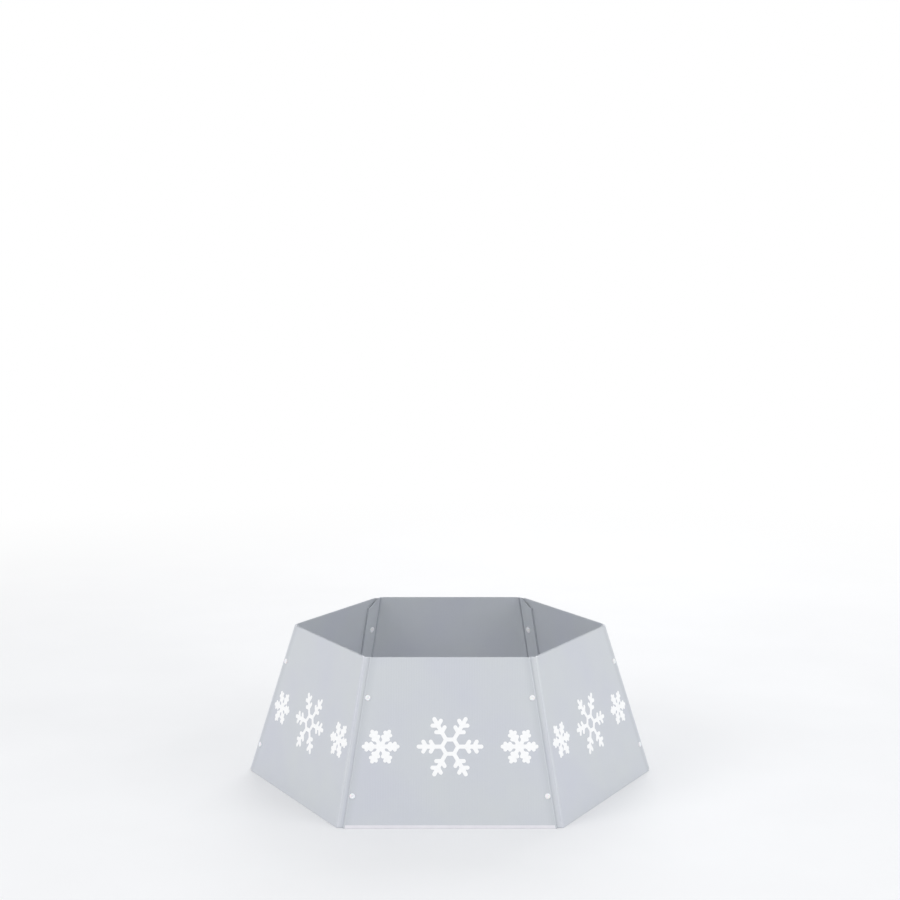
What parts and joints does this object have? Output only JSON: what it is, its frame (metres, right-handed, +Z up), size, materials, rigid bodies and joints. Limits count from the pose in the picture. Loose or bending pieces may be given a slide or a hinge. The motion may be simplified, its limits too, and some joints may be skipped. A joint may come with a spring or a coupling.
{
  "type": "christmas tree skirt",
  "caption": "Six-sided tapered collar of silver board with white snowflakes that stands round a tree's foot; riveted panels fold flat along their corner creases.",
  "frame": {"origin": "on the floor, at the centre of the collar", "axes": "+Z up, -Y out of the front panel, +X to the right as seen from the front"},
  "size_m": [0.6798, 0.5924, 0.25],
  "materials": {
    "silver_board": "satin silver printed twin-wall polypropylene",
    "white_rivet": "smooth white nylon",
    "white_print": "opaque white ink"
  },
  "bodies": {
    "front": {"front_panel": "silver_board", "front_left_seam_flap": "silver_board", "front_left_seam_lower_rivet_stud": "white_rivet", "front_left_seam_lower_rivet_socket": "white_rivet", "front_left_seam_upper_rivet_stud": "white_rivet", "front_left_seam_upper_rivet_socket": "white_rivet", "front_right_seam_flap": "silver_board", "front_right_seam_lower_rivet_stud": "white_rivet", "front_right_seam_lower_rivet_socket": "white_rivet", "front_right_seam_upper_rivet_stud": "white_rivet", "front_right_seam_upper_rivet_socket": "white_rivet", "front_snowflake_small_left": "white_print", "front_snowflake_large": "white_print", "front_snowflake_small_right": "white_print"},
    "left": {"left_panel": "silver_board", "left_seam_flap": "silver_board", "left_seam_lower_rivet_stud": "white_rivet", "left_seam_lower_rivet_socket": "white_rivet", "left_seam_upper_rivet_stud": "white_rivet", "left_seam_upper_rivet_socket": "white_rivet", "left_snowflake_small_left": "white_print", "left_snowflake_large": "white_print", "left_snowflake_small_right": "white_print"},
    "rear_left": {"rear_left_panel": "silver_board", "rear_left_seam_flap": "silver_board", "rear_left_seam_lower_rivet_stud": "white_rivet", "rear_left_seam_lower_rivet_socket": "white_rivet", "rear_left_seam_upper_rivet_stud": "white_rivet", "rear_left_seam_upper_rivet_socket": "white_rivet", "rear_left_snowflake_small_left": "white_print", "rear_left_snowflake_large": "white_print", "rear_left_snowflake_small_right": "white_print"},
    "rear": {"rear_panel": "silver_board", "rear_snowflake_small_left": "white_print", "rear_snowflake_large": "white_print", "rear_snowflake_small_right": "white_print"},
    "rear_right": {"rear_right_panel": "silver_board", "rear_right_seam_flap": "silver_board", "rear_right_seam_lower_rivet_stud": "white_rivet", "rear_right_seam_lower_rivet_socket": "white_rivet", "rear_right_seam_upper_rivet_stud": "white_rivet", "rear_right_seam_upper_rivet_socket": "white_rivet", "rear_right_snowflake_small_left": "white_print", "rear_right_snowflake_large": "white_print", "rear_right_snowflake_small_right": "white_print"},
    "right": {"right_panel": "silver_board", "right_seam_flap": "silver_board", "right_seam_lower_rivet_stud": "white_rivet", "right_seam_lower_rivet_socket": "white_rivet", "right_seam_upper_rivet_stud": "white_rivet", "right_seam_upper_rivet_socket": "white_rivet", "right_snowflake_small_left": "white_print", "right_snowflake_large": "white_print", "right_snowflake_small_right": "white_print"}
  },
  "joints": [
    {"name": "left_crease", "type": "hinge", "parent": "left", "child": "rear_left", "pos_m": [-0.29719, 0.00342, 0.125], "axis": [-0.2996, 0, -0.9541], "range_deg": [0, 102]},
    {"name": "front_left_crease", "type": "hinge", "parent": "front", "child": "left", "pos_m": [-0.15335, -0.25877, 0.125], "axis": [0.1498, 0.2594, 0.9541], "range_deg": [0, 67]},
    {"name": "rear_left_crease", "type": "hinge", "parent": "rear_left", "child": "rear", "pos_m": [-0.14743, 0.26219, 0.125], "axis": [0.1498, -0.2594, 0.9541], "range_deg": [0, 48]},
    {"name": "front_right_crease", "type": "hinge", "parent": "front", "child": "right", "pos_m": [0.15335, -0.25877, 0.125], "axis": [0.1498, -0.2594, -0.9541], "range_deg": [0, 24]},
    {"name": "right_crease", "type": "hinge", "parent": "right", "child": "rear_right", "pos_m": [0.29719, 0.00342, 0.125], "axis": [-0.2996, 0, 0.9541], "range_deg": [0, 83]}
  ],
  "couplings": [
    {"joint": "front_left_crease", "follows": "left_crease", "ratio": 0.6548},
    {"joint": "rear_left_crease", "follows": "left_crease", "ratio": 0.4695},
    {"joint": "front_right_crease", "follows": "left_crease", "ratio": 0.2312},
    {"joint": "right_crease", "follows": "left_crease", "ratio": 0.8126}
  ]
}
